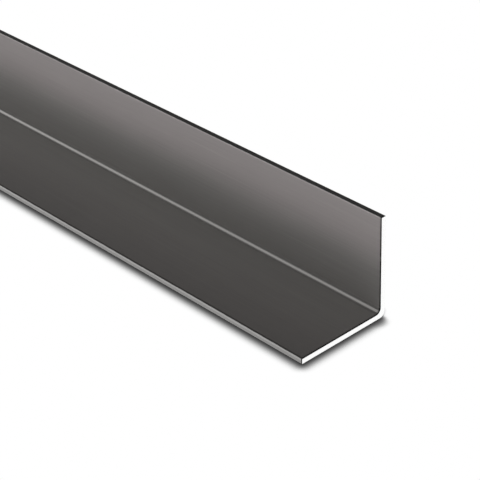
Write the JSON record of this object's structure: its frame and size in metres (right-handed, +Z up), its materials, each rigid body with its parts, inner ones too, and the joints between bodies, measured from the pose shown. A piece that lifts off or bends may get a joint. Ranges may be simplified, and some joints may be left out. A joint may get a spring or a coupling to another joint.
{
  "type": "metal angle section",
  "caption": "Equal-leg cold-formed steel angle, bent from thin strip with a small radius at root and heel, sawn square at the ends.",
  "frame": {"origin": "on the floor, below the middle of the bar and half way across the flat leg", "axes": "+X along the bar, +Y from the flat leg's toe towards the outer face of the upright leg, +Z up the upright leg"},
  "size_m": [1, 0.04, 0.04],
  "materials": {
    "rolled_steel": "dark satin mill finish of cold-rolled steel, bright sawn ends"
  },
  "bodies": {
    "root": {"angle_section": "rolled_steel"}
  },
  "joints": []
}
